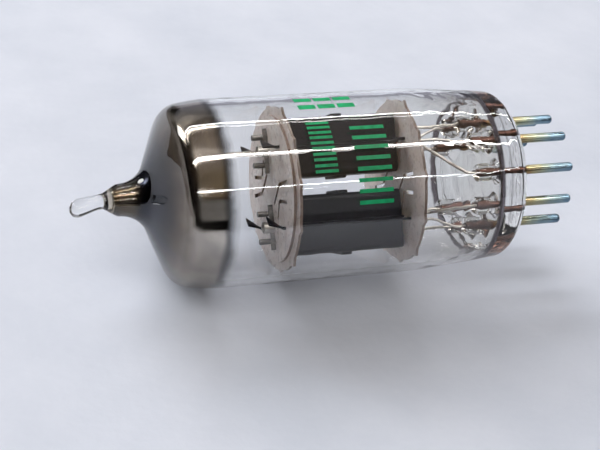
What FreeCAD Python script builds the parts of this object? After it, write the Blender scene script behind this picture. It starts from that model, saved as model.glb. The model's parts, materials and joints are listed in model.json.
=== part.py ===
import FreeCAD, Part
import math
import os
import Sketcher

# A nine-pin miniature vacuum tube with two triodes, lying on its side.
# X runs along the tube: pins towards +X, dome and sealed tip towards -X.
# The origin is the centre of the seating face, the flat outer face of the glass button.
# Lengths are in mm and angles in degrees.

doc = FreeCAD.newDocument("vacuum_tube")
sheet = doc.addObject("Spreadsheet::Sheet", "Dims")

DIMENSIONS = {
    # Glass envelope. Its outline is straight lines joined by round bends.
    "bulb_radius": 10.2,
    "bulb_wall": 0.8,
    "seal_axial": -3.6,
    "seal_radius": 9.62,
    "taper_axial": -11.0,
    "taper_bend": 30.0,
    "crown_axial": -34.9,
    "crown_bend": 22.0,
    "shoulder_axial": -38.17,
    "shoulder_radius": 9.65,
    "shoulder_bend": 2.3,
    "neck_axial": -41.52,
    "neck_radius": 1.85,
    "neck_bend": 3.2,
    "neck_top_axial": -43.9,
    "neck_top_radius": 1.72,
    "neck_top_bend": 0.7,
    "hollow_neck_bend": 3.4,
    "hollow_end_axial": -44.4,
    "hollow_end_bend": 0.3,
    "tip_root_axial": -45.4,
    "tip_root_radius": 0.82,
    "tip_axial": -48.9,
    # Mirror coating inside the dome.
    "film_thickness": 0.05,
    "film_edge_axial": -32.8,
    # Glass button with a pillar round every lead.
    "button_rim_axial": -1.0,
    "button_rim_radius": 9.35,
    "button_rim_bend": 1.2,
    "seat_radius": 8.2,
    "seat_bend": 0.5,
    "button_inner_axial": -2.9,
    "button_floor_radius": 8.4,
    "pillar_axial": -5.4,
    "pillar_radius": 0.95,
    "pillar_bend": 0.45,
    "pillar_foot_radius": 1.45,
    "pillar_foot_length": 0.4,
    "pillar_foot_bend": 0.5,
    # Pins, the seal wires buried in the glass, and the inner leads.
    "pin_circle_radius": 5.9435,
    "pin_radius": 0.508,
    "pin_length": 6.7,
    "pin_end_bend": 0.42,
    "pin_root_axial": -0.8,
    "pin_pitch": 36.0,
    "seal_wire_radius": 0.3,
    "seal_wire_axial": -4.9,
    "lead_radius": 0.17,
    "lead_bend": 0.8,
    "lead_first_bend": -6.2,
    "lead_end_axial": -11.3,
    # The cage: mica spacers, plates, cathodes, grids and heaters.
    "cage_roll": -36.0,
    "unit_offset": 4.15,
    "mica_cover_axial": -26.75,
    "mica_top_axial": -26.4,
    "mica_bottom_axial": -12.4,
    "mica_thickness": 0.3,
    "mica_cover_radius": 8.0,
    "mica_radius": 8.95,
    "mica_tooth_radius": 9.34,
    "mica_tooth_half_width": 0.8,
    "plate_start_axial": -25.8,
    "plate_end_axial": -12.9,
    "plate_sheet": 0.25,
    "plate_half_width": 2.6,
    "plate_height": 3.2,
    "plate_bend": 0.7,
    "plate_seam_gap": 0.02,
    "wing_reach": 5.0,
    "wing_start_axial": -25.4,
    "wing_end_axial": -13.6,
    "rib_width": 1.1,
    "rib_height": 0.3,
    "rib_bend": 0.25,
    "tab_centre": 3.8,
    "tab_half_width": 0.55,
    "tab_top_axial": -28.7,
    "tab_bottom_axial": -10.9,
    "tab_twist": 50.0,
    "tab_twist_clearance": 0.1,
    "cathode_radius": 0.6,
    "cathode_wall": 0.08,
    "cathode_top_axial": -28.1,
    "cathode_bottom_axial": -11.8,
    "cathode_bead_radius": 0.78,
    "cathode_bead_gap": 0.05,
    "cathode_bead_half_length": 0.2,
    "cathode_bead_bend": 0.1,
    "coating_thickness": 0.06,
    "coating_start_axial": -24.8,
    "coating_end_axial": -14.0,
    "grid_rod_spacing": 1.5,
    "grid_rod_radius": 0.3,
    "grid_rod_top_axial": -28.6,
    "grid_rod_bottom_axial": -10.9,
    "grid_loop_radius": 0.9,
    "grid_loop_straight": 1.0,
    "grid_loop_bend": 0.85,
    "grid_wire_radius": 0.05,
    "grid_first_axial": -24.6,
    "grid_last_axial": -14.2,
    "stop_length": 1.9,
    "stop_width": 0.5,
    "stop_thickness": 0.12,
    "stop_gap": 0.05,
    "heater_wire_radius": 0.13,
    "heater_fold": 0.21,
    "heater_top_axial": -27.6,
    "heater_fold_axial": -12.4,
    "heater_end_axial": -10.5,
    "heater_strap_radius": 0.21,
    "heater_strap_axial": -10.85,
    "cathode_tab_thickness": 0.1,
    "cathode_tab_length": 0.9,
    "cathode_tab_overlap": 0.3,
    # Getter: a channel ring held in the dome by a wire post.
    "getter_post_side": 2.2,
    "getter_post_radius": 0.3,
    "getter_post_foot": 0.25,
    "getter_collar_radius": 0.45,
    "getter_collar_length": 0.35,
    "getter_collar_gap": 0.05,
    "getter_axial": -36.2,
    "getter_ring_radius": 2.4,
    "getter_channel_radius": 0.45,
    # Slots cut in the mica to lengthen the leakage path.
    "slot_width": 0.4,
    "slot_bend": 0.6,
    "hole_clearance": 0.04,
    # How far a cut runs past the face that it starts from, and a joined feature into the body it joins.
    "overcut": 0.5,
    "overlap": 0.1,
    # Printed mark: rows of plain dashes round the bulb.
    "ink_thickness": 0.03,
}

for row, (name, size) in enumerate(DIMENSIONS.items(), start=1):
    sheet.set(f"A{row}", name)
    sheet.set(f"B{row}", str(size))
    sheet.setAlias(f"B{row}", name)
doc.recompute()

PIN_COUNT = 9
GRID_TURNS = 22
MICA_TEETH = 12
PIN_SPAN = f"{PIN_COUNT - 1} * Dims.pin_pitch"

nodes = {}


def value(expression):
    """The number that a sheet expression stands for."""
    return float(sheet.evalExpression(str(expression)))


def keep(obj, name):
    """Names a finished sub-part and lists it for export."""
    obj.Label = name
    nodes[name] = obj
    return obj


def place(obj, axial="0", side="0", height="0", roll="0", turn="Dims.cage_roll"):
    """Puts a sub-part at (axial, side, height) with its own roll, then turns it about the tube's axis."""
    own = f"placement(vector({axial}; {side}; {height}); rotation(vector(1; 0; 0); {roll}))"
    obj.setExpression("Placement", f"placement(vector(0; 0; 0); rotation(vector(1; 0; 0); {turn})) * {own}")


def origin_item(body, role):
    """One of a body's own origin planes or axes."""
    return next(item for item in body.Origin.OriginFeatures if item.Role == role)


def new_sketch(body, name, role="XY_Plane", shift=("0", "0", "0")):
    """A sketch on a body's origin plane, moved in its own axes by three sheet expressions."""
    sketch = body.newObject("Sketcher::SketchObject", name)
    sketch.AttachmentSupport = [(origin_item(body, role), "")]
    sketch.MapMode = "FlatFace"
    for axis, amount in zip("xyz", shift):
        if amount != "0":
            sketch.setExpression(f"AttachmentOffset.Base.{axis}", amount)
    return sketch


def pin_point(sketch, geometry, position, corner):
    """Holds one point of the sketch at a corner given as sheet expressions."""
    for kind, expression in zip(("DistanceX", "DistanceY"), corner):
        constraint = sketch.addConstraint(
            Sketcher.Constraint(kind, -1, 1, geometry, position, value(expression))
        )
        sketch.setExpression(f"Constraints[{constraint}]", str(expression))


def add_outline(sketch, corners, closed=True):
    """Draws straight lines through corners, each (x, y) or (x, y, bend radius), all sheet expressions."""
    count = len(corners)
    points = [FreeCAD.Vector(value(c[0]), value(c[1]), 0) for c in corners]
    entry, leave = list(points), list(points)
    arcs = {}
    for i, corner in enumerate(corners):
        if len(corner) < 3:
            continue
        radius = value(corner[2])
        back = (points[i - 1] - points[i]).normalize()
        ahead = (points[(i + 1) % count] - points[i]).normalize()
        half = back.getAngle(ahead) / 2
        reach = radius / math.tan(half)
        entry[i] = points[i] + back * reach
        leave[i] = points[i] + ahead * reach
        centre = points[i] + (back + ahead).normalize() * (radius / math.sin(half))
        first, second = (math.atan2(p.y - centre.y, p.x - centre.x) for p in (entry[i], leave[i]))
        # A sketch keeps its arcs anticlockwise, so an outline that turns right meets the arc's end first.
        turns_left = (second - first) % (2 * math.pi) < math.pi
        if not turns_left:
            first, second = second, first
        circle = Part.Circle(centre, FreeCAD.Vector(0, 0, 1), radius)
        arcs[i] = (Part.ArcOfCircle(circle, first, second), turns_left)
    last = count if closed else count - 1
    lines = [
        sketch.addGeometry(Part.LineSegment(leave[i], entry[(i + 1) % count]))
        for i in range(last)
    ]
    for i, corner in enumerate(corners):
        before = lines[i - 1] if closed or i > 0 else None
        after = lines[i] if i < last else None
        if i in arcs:
            curve, turns_left = arcs[i]
            arc = sketch.addGeometry(curve)
            first, second = (1, 2) if turns_left else (2, 1)
            sketch.addConstraint(Sketcher.Constraint("Tangent", before, 2, arc, first))
            sketch.addConstraint(Sketcher.Constraint("Tangent", arc, second, after, 1))
            bend = sketch.addConstraint(Sketcher.Constraint("Radius", arc, value(corner[2])))
            sketch.setExpression(f"Constraints[{bend}]", str(corner[2]))
            mark = sketch.addGeometry(Part.Point(points[i]), True)
            sketch.addConstraint(Sketcher.Constraint("PointOnObject", mark, 1, before))
            sketch.addConstraint(Sketcher.Constraint("PointOnObject", mark, 1, after))
            pin_point(sketch, mark, 1, corner)
            continue
        if before is not None and after is not None:
            sketch.addConstraint(Sketcher.Constraint("Coincident", before, 2, after, 1))
        if after is not None:
            pin_point(sketch, after, 1, corner)
        else:
            pin_point(sketch, before, 2, corner)


def add_circle(sketch, x, y, radius):
    """A circle at (x, y), all sheet expressions."""
    centre = FreeCAD.Vector(value(x), value(y), 0)
    circle = sketch.addGeometry(Part.Circle(centre, FreeCAD.Vector(0, 0, 1), value(radius)))
    pin_point(sketch, circle, 3, (x, y))
    size = sketch.addConstraint(Sketcher.Constraint("Radius", circle, value(radius)))
    sketch.setExpression(f"Constraints[{size}]", str(radius))


def box_corners(x0, x1, y0, y1):
    """The four corners of a rectangle, as sheet expressions."""
    return [(x0, y0), (x1, y0), (x1, y1), (x0, y1)]


def new_body(name, pieces=1):
    """A PartDesign body, allowed to hold separate solids where one node is a group."""
    body = doc.addObject("PartDesign::Body", name)
    body.AllowCompound = pieces > 1
    return body


def revolve(body, name, corners, kind="PartDesign::Revolution", offset="0"):
    """Turns an outline of (axial, radius) corners about the tube's axis, or one parallel to it."""
    sketch = new_sketch(body, name + "_outline", shift=("0", offset, "0"))
    add_outline(sketch, corners)
    feature = body.newObject(kind, name)
    feature.Profile = sketch
    feature.ReferenceAxis = (sketch, ["H_Axis"])
    feature.Angle = 360
    sketch.Visibility = False
    return feature


def pad(body, name, draw, start, end, kind="PartDesign::Pad"):
    """Pads, or pockets, a cross-section drawn square to the tube from one axial position to another."""
    sketch = new_sketch(body, name + "_section", "YZ_Plane", ("0", "0", start))
    draw(sketch)
    feature = body.newObject(kind, name)
    feature.Profile = sketch
    feature.setExpression("Length", f"({end}) - ({start})")
    feature.Reversed = kind == "PartDesign::Pocket"
    sketch.Visibility = False
    return feature


def repeat_round(body, name, feature, count, span):
    """Repeats a feature round the tube's axis, from the first over the given angle."""
    pattern = body.newObject("PartDesign::PolarPattern", name)
    pattern.Originals = [feature]
    pattern.Axis = (origin_item(body, "X_Axis"), [""])
    pattern.Occurrences = count
    pattern.setExpression("Angle", span)
    body.Tip = pattern
    return pattern


def loft(body, name, first, later):
    """Joins a row of closed sketches with one smooth skin."""
    skin = body.newObject("PartDesign::AdditiveLoft", name)
    skin.Profile = first
    skin.Sections = later
    for sketch in (first, *later):
        sketch.Visibility = False
    return skin


def pin_angle(number):
    """The turn of a pin about the tube's axis. Pins count round the circle with one place left empty."""
    return f"Dims.cage_roll + {5 - number} * Dims.pin_pitch"


def unit_height(unit):
    """How far a triode's centre line stands above the tube's axis, in the cage. Unit 2 is the upper one."""
    return "Dims.unit_offset" if unit == 2 else "-Dims.unit_offset"


# ---------------------------------------------------------------- glass

# The angle by which the crown leaves the tube's axis, and the dome's angle from square to that axis.
CROWN = "atan((Dims.bulb_radius - Dims.shoulder_radius) / (Dims.crown_axial - Dims.shoulder_axial))"
LEAN = "atan((Dims.shoulder_axial - Dims.neck_axial) / (Dims.shoulder_radius - Dims.neck_radius))"
HOLLOW_RADIUS = "Dims.neck_radius - Dims.bulb_wall"

# Rings up the sealed tip: share of its length, radius and droop.
TIP_RINGS = (
    (0.0, "Dims.tip_root_radius", 0.0),
    (0.25, 0.83, 0.14),
    (0.5, 0.93, 0.34),
    (0.75, 1.0, 0.52),
    (0.92, 0.78, 0.63),
    (1.0, 0.34, 0.67),
)


def dome_corners(depth, neck_bend):
    """The outline from the bulb's full radius over the dome to the neck, at a depth below the outer skin."""
    crown_x = f"Dims.crown_axial + ({depth}) * tan({CROWN} / 2)"
    turn = f"(1 + sin({LEAN} + {CROWN}))"
    shoulder_x = f"Dims.shoulder_axial + ({depth}) * (cos({LEAN}) + sin({CROWN})) / {turn}"
    shoulder_r = f"Dims.shoulder_radius - ({depth}) * (sin({LEAN}) + cos({CROWN})) / {turn}"
    neck_x = f"Dims.neck_axial + ({depth}) * cos({LEAN}) / (1 + sin({LEAN}))"
    return [
        (crown_x, f"Dims.bulb_radius - ({depth})", f"Dims.crown_bend - ({depth})"),
        (shoulder_x, shoulder_r, f"Dims.shoulder_bend - ({depth})"),
        (neck_x, f"Dims.neck_radius - ({depth})", neck_bend),
    ]


def hollow_corners(thickness="0"):
    """The inner skin from the crown to the closed end of the neck's hollow, or a layer inside it."""
    depth = f"Dims.bulb_wall + {thickness}"
    end_x = f"Dims.hollow_end_axial + {thickness}"
    return [
        *dome_corners(depth, f"Dims.hollow_neck_bend + {thickness}"),
        (end_x, f"{HOLLOW_RADIUS} - {thickness}", f"Dims.hollow_end_bend - {thickness}"),
        (end_x, "0"),
    ]


def make_envelope():
    """The blown bulb, with the drooping tip where the exhaust tube was melted shut."""
    body = new_body("glass_envelope")
    revolve(body, "bulb", [
        ("Dims.seal_axial", "Dims.seal_radius"),
        ("Dims.taper_axial", "Dims.bulb_radius", "Dims.taper_bend"),
        *dome_corners("0", "Dims.neck_bend"),
        ("Dims.neck_top_axial", "Dims.neck_top_radius", "Dims.neck_top_bend"),
        ("Dims.tip_root_axial", "Dims.tip_root_radius"),
        ("Dims.tip_root_axial", "0"),
        *reversed(hollow_corners()),
        ("Dims.taper_axial", "Dims.bulb_radius - Dims.bulb_wall", "Dims.taper_bend - Dims.bulb_wall"),
        ("Dims.seal_axial", "Dims.seal_radius - Dims.bulb_wall"),
    ])
    rings = []
    for i, (share, radius, droop) in enumerate(TIP_RINGS):
        station = f"Dims.tip_root_axial - {share} * (Dims.tip_root_axial - Dims.tip_axial)"
        ring = new_sketch(body, f"tip_ring_{i}", "YZ_Plane", ("0", "0", station))
        add_circle(ring, "0", f"-{droop}", radius)
        rings.append(ring)
    loft(body, "tip", rings[0], rings[1:])
    place(body)
    return keep(body, "glass_envelope")


def make_film():
    """The mirror that the getter leaves inside the dome, as a thin shell trimmed at its edge."""
    body = new_body("getter_film")
    past_edge = "(Dims.taper_axial + Dims.crown_axial) / 2"
    revolve(body, "film", [
        (past_edge, "Dims.bulb_radius - Dims.bulb_wall"),
        *hollow_corners(),
        *reversed(hollow_corners("Dims.film_thickness")),
        (past_edge, "Dims.bulb_radius - Dims.bulb_wall - Dims.film_thickness"),
    ])
    revolve(body, "film_edge", box_corners(
        "Dims.film_edge_axial", f"{past_edge} + Dims.overcut", "0", "Dims.bulb_radius"
    ), kind="PartDesign::Groove")
    place(body)
    return keep(body, "getter_film")


def make_button():
    """The moulded glass base: a disc with a pillar and a stepped passage for each of the nine leads."""
    body = new_body("glass_button")
    revolve(body, "disc", [
        ("Dims.button_inner_axial", "0"),
        ("Dims.button_inner_axial", "Dims.button_floor_radius", "Dims.seat_bend"),
        ("Dims.seal_axial", "Dims.seal_radius - Dims.bulb_wall"),
        ("Dims.seal_axial", "Dims.seal_radius"),
        ("Dims.button_rim_axial", "Dims.button_rim_radius", "Dims.button_rim_bend"),
        ("0", "Dims.seat_radius", "Dims.seat_bend"),
        ("0", "0"),
    ])
    offset = "-Dims.pin_circle_radius"
    root = "Dims.button_inner_axial + Dims.overcut"
    pillar = revolve(body, "pillar", [
        ("Dims.pillar_axial", "0"),
        ("Dims.pillar_axial", "Dims.pillar_radius", "Dims.pillar_bend"),
        ("Dims.button_inner_axial - Dims.pillar_foot_length", "Dims.pillar_radius", "Dims.pillar_foot_bend"),
        ("Dims.button_inner_axial", "Dims.pillar_foot_radius"),
        (root, "Dims.pillar_foot_radius"),
        (root, "0"),
    ], offset=offset)
    repeat_round(body, "pillars", pillar, PIN_COUNT, PIN_SPAN)
    passage = revolve(body, "passage", [
        ("Dims.pillar_axial - Dims.overcut", "0"),
        ("Dims.pillar_axial - Dims.overcut", "Dims.lead_radius"),
        ("Dims.seal_wire_axial", "Dims.lead_radius"),
        ("Dims.seal_wire_axial", "Dims.seal_wire_radius"),
        ("Dims.pin_root_axial", "Dims.seal_wire_radius"),
        ("0", "Dims.pin_radius"),
        ("Dims.overcut", "Dims.pin_radius"),
        ("Dims.overcut", "0"),
    ], kind="PartDesign::Groove", offset=offset)
    repeat_round(body, "passages", passage, PIN_COUNT, PIN_SPAN)
    place(body, turn=pin_angle(PIN_COUNT))
    return keep(body, "glass_button")


# ---------------------------------------------------------------- pins and leads

def make_pin(number):
    """One contact pin with a rounded end, tapering inside the glass to its seal wire."""
    body = new_body(f"pin_{number}")
    revolve(body, f"pin_{number}_turned", [
        ("Dims.pin_root_axial", "0"),
        ("Dims.pin_root_axial", "Dims.seal_wire_radius"),
        ("0", "Dims.pin_radius"),
        ("Dims.pin_length", "Dims.pin_radius", "Dims.pin_end_bend"),
        ("Dims.pin_length", "0"),
    ])
    place(body, side="-Dims.pin_circle_radius", turn=pin_angle(number))
    return keep(body, f"pin_{number}")


def make_seal_wires():
    """Nine short seal wires, buried in the glass between the pins and the inner leads."""
    body = new_body("seal_wires", pieces=PIN_COUNT)
    wire = revolve(body, "seal_wire", box_corners(
        "Dims.seal_wire_axial", "Dims.pin_root_axial", "0", "Dims.seal_wire_radius"
    ), offset="-Dims.pin_circle_radius")
    repeat_round(body, "seal_wire_ring", wire, PIN_COUNT, PIN_SPAN)
    place(body, turn=pin_angle(PIN_COUNT))
    return keep(body, "seal_wires")


# How far a lead's centre stands from the centre of the rod, heater or strap that it is welded beside.
BESIDE_ROD = "(Dims.grid_rod_radius + Dims.lead_radius)"
BESIDE_HEATER = "(Dims.heater_fold + Dims.heater_wire_radius + Dims.lead_radius)"
STRAP_SIDE = "(Dims.heater_fold + Dims.heater_wire_radius + Dims.heater_strap_radius)"
BESIDE_STRAP = f"({STRAP_SIDE} + Dims.heater_strap_radius + Dims.lead_radius)"
BESIDE_TAB = "(Dims.unit_offset + Dims.plate_seam_gap - Dims.lead_radius)"
OUTER_ROD = "(Dims.unit_offset + Dims.grid_rod_spacing)"
HEATER_LEG = "(Dims.unit_offset - Dims.heater_fold)"

# Where each inner lead ends: its side and height in the cage, and the axial position of its second bend.
LEAD_ENDS = {
    1: ("Dims.tab_centre", f"-{BESIDE_TAB}", -8.6),
    2: (BESIDE_ROD, f"-{OUTER_ROD}", -8.8),
    3: ("-1.3", "-(Dims.unit_offset + 0.45)", -8.8),
    4: (f"-{BESIDE_HEATER}", f"-{HEATER_LEG}", -10.0),
    5: (f"-{BESIDE_HEATER}", HEATER_LEG, -9.4),
    6: ("-Dims.tab_centre", BESIDE_TAB, -8.6),
    7: (f"-{BESIDE_ROD}", OUTER_ROD, -8.8),
    8: ("1.3", "Dims.unit_offset + 0.45", -8.8),
    9: (BESIDE_STRAP, "Dims.unit_offset - 1.1", -9.4),
}


def make_lead(number):
    """One inner lead: straight out of its pillar, across to its electrode, then straight again."""
    side, height, second_bend = LEAD_ENDS[number]
    angle = math.radians((5 - number) * value("Dims.pin_pitch"))
    circle = value("Dims.pin_circle_radius")
    start = (-circle * math.cos(angle), -circle * math.sin(angle))
    across = (value(side) - start[0], value(height) - start[1])
    offset = math.hypot(*across)
    heading = math.degrees(math.atan2(across[1], across[0]))
    body = new_body(f"lead_{number}")
    path = new_sketch(body, f"lead_{number}_path")
    add_outline(path, [
        ("Dims.seal_wire_axial", "0"),
        ("Dims.lead_first_bend", "0", "Dims.lead_bend"),
        (str(second_bend), str(offset), "Dims.lead_bend"),
        ("Dims.lead_end_axial", str(offset)),
    ], closed=False)
    section = new_sketch(body, f"lead_{number}_section", "YZ_Plane", ("0", "0", "Dims.seal_wire_axial"))
    add_circle(section, "0", "0", "Dims.lead_radius")
    wire = body.newObject("PartDesign::AdditivePipe", f"lead_{number}_wire")
    wire.Profile = section
    wire.Spine = path
    path.Visibility = False
    section.Visibility = False
    place(body, side=str(start[0]), height=str(start[1]), roll=str(heading))
    return keep(body, f"lead_{number}")


# ---------------------------------------------------------------- mica spacers

def mica_openings(sketch, with_post):
    """The openings that the cage's parts pass through."""
    gap = "Dims.hole_clearance"
    for sign in ("", "-"):
        centre = f"{sign}Dims.unit_offset"
        add_circle(sketch, "0", centre, f"Dims.cathode_radius + {gap}")
        for rod in ("Dims.grid_rod_spacing", "-Dims.grid_rod_spacing"):
            add_circle(sketch, "0", f"{centre} + {rod}", f"Dims.grid_rod_radius + {gap}")
        # A tab belongs to the outer half of its plate, so it stands on that side of the seam.
        near = f"{sign}(Dims.unit_offset - {gap})"
        far = f"{sign}(Dims.unit_offset + Dims.plate_seam_gap + Dims.plate_sheet + {gap})"
        for tab in ("Dims.tab_centre", "-Dims.tab_centre"):
            half = f"(Dims.tab_half_width + {gap})"
            add_outline(sketch, box_corners(f"{tab} - {half}", f"{tab} + {half}", near, far))
    if with_post:
        add_circle(sketch, "Dims.getter_post_side", "Dims.unit_offset", f"Dims.getter_post_radius + {gap}")


# Hook-shaped slots: the side and height, in the cage, of the leg's start, of the bend and of the hook's end.
MICA_SLOTS = (
    ((1.8, 3.3), (2.8, 1.4), (5.5, 1.6)),
    ((0.9, 1.7), (3.2, -0.35), (5.9, -0.5)),
)


def mica_slots(sketch):
    """Two hook-shaped slots. Half a turn gives the other two."""
    half, bend = value("Dims.slot_width") / 2, value("Dims.slot_bend")
    for points in MICA_SLOTS:
        start, corner, end = (FreeCAD.Vector(side, height, 0) for side, height in points)
        leg, hook = (corner - start).normalize(), (end - corner).normalize()
        off_leg = FreeCAD.Vector(-leg.y, leg.x, 0) * half
        off_hook = FreeCAD.Vector(-hook.y, hook.x, 0) * half
        # The two edges of the slot meet at the corner on a line that halves its angle.
        off_corner = (off_leg + off_hook) / (1 + leg.dot(hook))
        near, far = corner - off_corner, corner + off_corner
        add_outline(sketch, [
            tuple(str(number) for number in point)
            for point in (
                (start - off_leg)[:2],
                (near.x, near.y, bend + half),
                (end - off_hook)[:2],
                (end + off_hook)[:2],
                (far.x, far.y, bend - half),
                (start + off_leg)[:2],
            )
        ])


def make_mica(name, axial, radius="Dims.mica_radius", toothed=True, slotted=True, with_post=True):
    """A spacer stamped from mica. Pointed teeth grip the bulb."""
    body = new_body(name)
    start, end = f"{axial} - Dims.mica_thickness / 2", f"{axial} + Dims.mica_thickness / 2"
    pad(body, name + "_disc", lambda s: add_circle(s, "0", "0", radius), start, end)
    if toothed:
        root = f"{radius} - Dims.overlap"
        tooth = pad(body, name + "_tooth", lambda s: add_outline(s, [
            (root, "-Dims.mica_tooth_half_width"),
            ("Dims.mica_tooth_radius", "0"),
            (root, "Dims.mica_tooth_half_width"),
        ]), start, end)
        repeat_round(body, name + "_teeth", tooth, MICA_TEETH, f"360 * {MICA_TEETH - 1} / {MICA_TEETH}")
    cut_from, cut_to = f"{start} - Dims.overcut", f"{end} + Dims.overcut"
    openings = lambda s: mica_openings(s, with_post)
    pad(body, name + "_openings", openings, cut_from, cut_to, "PartDesign::Pocket")
    if slotted:
        slots = pad(body, name + "_slots", mica_slots, cut_from, cut_to, "PartDesign::Pocket")
        repeat_round(body, name + "_slot_pairs", slots, 2, "180")
    place(body)
    return keep(body, name)


# ---------------------------------------------------------------- electrodes

# How far each unit's tabs lean away from the tube's axis beyond the top spacers, where they are twisted.
TAB_LEAN = {1: -0.9, 2: 0.4}
# In a half's own axes, the side of the tab that a lead is welded to. It stays flat beyond the bottom spacer.
WELDED_SIDE = -1
ABOVE_COVER = "(Dims.mica_cover_axial - Dims.mica_thickness / 2)"
BELOW_BOTTOM = "(Dims.mica_bottom_axial + Dims.mica_thickness / 2)"


def twist_end(body, name, middle, start, end, lean="0"):
    """The end of a tab beyond a spacer, twisted to lock the plate in."""
    half_sheet = "Dims.plate_sheet / 2"
    centre = f"Dims.plate_seam_gap + {half_sheet}"
    sections = []
    for axial, turn, shift in ((start, "0", "0"), (end, "Dims.tab_twist", lean)):
        across, up = f"cos({turn} * 1 deg)", f"sin({turn} * 1 deg)"
        section = new_sketch(body, f"{name}_{len(sections)}", "YZ_Plane", ("0", "0", axial))
        add_outline(section, [
            (
                f"{middle} + {i} * Dims.tab_half_width * {across} - {j} * {half_sheet} * {up}",
                f"{centre} + {shift} + {i} * Dims.tab_half_width * {up} + {j} * {half_sheet} * {across}",
            )
            for i, j in ((-1, -1), (1, -1), (1, 1), (-1, 1))
        ])
        sections.append(section)
    loft(body, name, sections[0], sections[1:])


def add_tab(body, name, unit, side):
    """A tab through the spacers, with its free ends twisted."""
    middle = f"{side} * Dims.tab_centre"
    above = f"{ABOVE_COVER} - Dims.tab_twist_clearance"
    below = f"{BELOW_BOTTOM} + Dims.tab_twist_clearance"
    welded = side == WELDED_SIDE
    pad(body, name, lambda s: add_outline(s, box_corners(
        f"{middle} - Dims.tab_half_width", f"{middle} + Dims.tab_half_width",
        "Dims.plate_seam_gap", "Dims.plate_seam_gap + Dims.plate_sheet",
    )), above, "Dims.tab_bottom_axial" if welded else below)
    twist_end(body, f"{name}_top", middle, above, "Dims.tab_top_axial", TAB_LEAN[unit])
    if not welded:
        twist_end(body, f"{name}_bottom", middle, below, "Dims.tab_bottom_axial")


def make_plate_half(unit, half):
    """One folded half of a plate: a trough with a cooling wing along each side, ribbed across its back."""
    name = f"plate_{unit}_{half}"
    body = new_body(name)
    metal, low = "Dims.plate_sheet", "Dims.plate_seam_gap"
    wide, tall = "Dims.plate_half_width", "Dims.plate_height"
    start, end = "Dims.plate_start_axial", "Dims.plate_end_axial"
    bend = "Dims.plate_bend"
    pad(body, name + "_trough", lambda s: add_outline(s, [
        (f"-{wide}", low),
        (f"-{wide}", tall, bend),
        (wide, tall, bend),
        (wide, low),
    ]), start, end)
    rib_middle = f"({start} + {end}) / 2"
    pad(body, name + "_rib", lambda s: add_outline(s, [
        (f"-{wide} + {bend}", f"{tall} - {metal}"),
        (f"-{wide} + {bend}", f"{tall} + Dims.rib_height", "Dims.rib_bend"),
        (f"{wide} - {bend}", f"{tall} + Dims.rib_height", "Dims.rib_bend"),
        (f"{wide} - {bend}", f"{tall} - {metal}"),
    ]), f"{rib_middle} - Dims.rib_width / 2", f"{rib_middle} + Dims.rib_width / 2")
    pad(body, name + "_wings", lambda s: add_outline(s, box_corners(
        "-Dims.wing_reach", "Dims.wing_reach", low, f"{low} + {metal}"
    )), "Dims.wing_start_axial", "Dims.wing_end_axial")
    if half == "outer":
        for side, where in ((-1, "near"), (1, "far")):
            add_tab(body, f"{name}_tab_{where}", unit, side)
    hollow = f"{wide} - {metal}"
    pad(body, name + "_hollow", lambda s: add_outline(s, [
        (f"-({hollow})", f"{low} - Dims.overcut"),
        (f"-({hollow})", f"{tall} - {metal}", f"{bend} - {metal}"),
        (hollow, f"{tall} - {metal}", f"{bend} - {metal}"),
        (hollow, f"{low} - Dims.overcut"),
    ]), f"{start} - Dims.overcut", f"{end} + Dims.overcut", "PartDesign::Pocket")
    # An outer half opens towards the tube's axis.
    upwards = (unit == 2) == (half == "outer")
    place(body, height=unit_height(unit), roll="0" if upwards else "180")
    return keep(body, name)


def make_cathode(unit):
    """A nickel sleeve with a crimped bead that stops it against the top spacer."""
    body = new_body(f"cathode_{unit}")
    skin, bore = "Dims.cathode_radius", "Dims.cathode_radius - Dims.cathode_wall"
    under_mica = "Dims.mica_top_axial + Dims.mica_thickness / 2 + Dims.cathode_bead_gap"
    bead = f"{under_mica} + Dims.cathode_bead_half_length"
    revolve(body, f"cathode_{unit}_sleeve", [
        ("Dims.cathode_top_axial", bore),
        ("Dims.cathode_top_axial", skin),
        (f"{bead} - Dims.cathode_bead_half_length", skin),
        (bead, "Dims.cathode_bead_radius", "Dims.cathode_bead_bend"),
        (f"{bead} + Dims.cathode_bead_half_length", skin),
        ("Dims.cathode_bottom_axial", skin),
        ("Dims.cathode_bottom_axial", bore),
    ])
    place(body, height=unit_height(unit))
    return keep(body, f"cathode_{unit}")


def make_coating(unit):
    """The white emitting oxide on the middle of a cathode."""
    body = new_body(f"cathode_coating_{unit}")
    revolve(body, f"coating_{unit}", box_corners(
        "Dims.coating_start_axial", "Dims.coating_end_axial",
        "Dims.cathode_radius", "Dims.cathode_radius + Dims.coating_thickness",
    ))
    place(body, height=unit_height(unit))
    return keep(body, f"cathode_coating_{unit}")


def make_grid_rods(unit):
    """The two side rods that carry a grid."""
    body = new_body(f"grid_rods_{unit}", pieces=2)

    def draw(sketch):
        for side in ("", "-"):
            add_circle(sketch, "0", f"{side}Dims.grid_rod_spacing", "Dims.grid_rod_radius")

    pad(body, f"grid_rods_{unit}_pair", draw, "Dims.grid_rod_top_axial", "Dims.grid_rod_bottom_axial")
    place(body, height=unit_height(unit))
    return keep(body, f"grid_rods_{unit}")


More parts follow.
